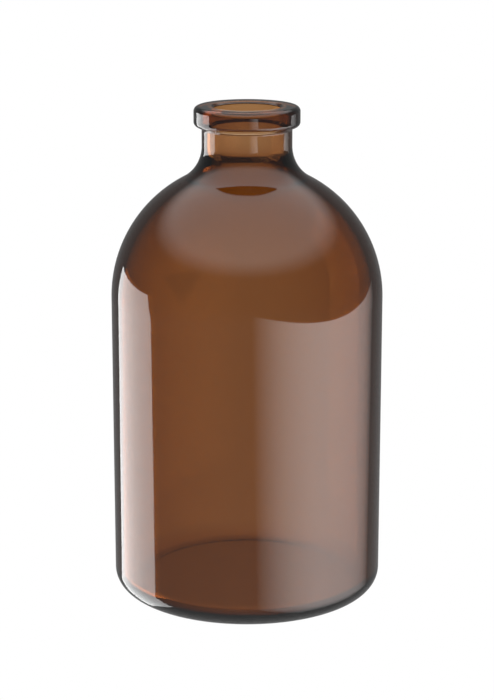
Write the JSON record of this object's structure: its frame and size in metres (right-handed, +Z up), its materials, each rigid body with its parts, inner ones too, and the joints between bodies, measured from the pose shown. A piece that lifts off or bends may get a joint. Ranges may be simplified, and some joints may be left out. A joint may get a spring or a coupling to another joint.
{
  "type": "glass vial",
  "caption": "Amber glass vial, open and empty: straight cylindrical body, round shoulder, short neck and a crimp flange round the mouth.",
  "frame": {"origin": "centre of the base, on the plane of the standing ring", "axes": "+Z up along the axis of the body and neck, from the base to the mouth; +X to the right as the picture shows it, +Y away from the camera"},
  "size_m": [0.0516, 0.0516, 0.0943],
  "materials": {
    "glass": "smooth clear amber glass, fire-polished"
  },
  "bodies": {
    "root": {"vial": "glass"}
  },
  "joints": []
}
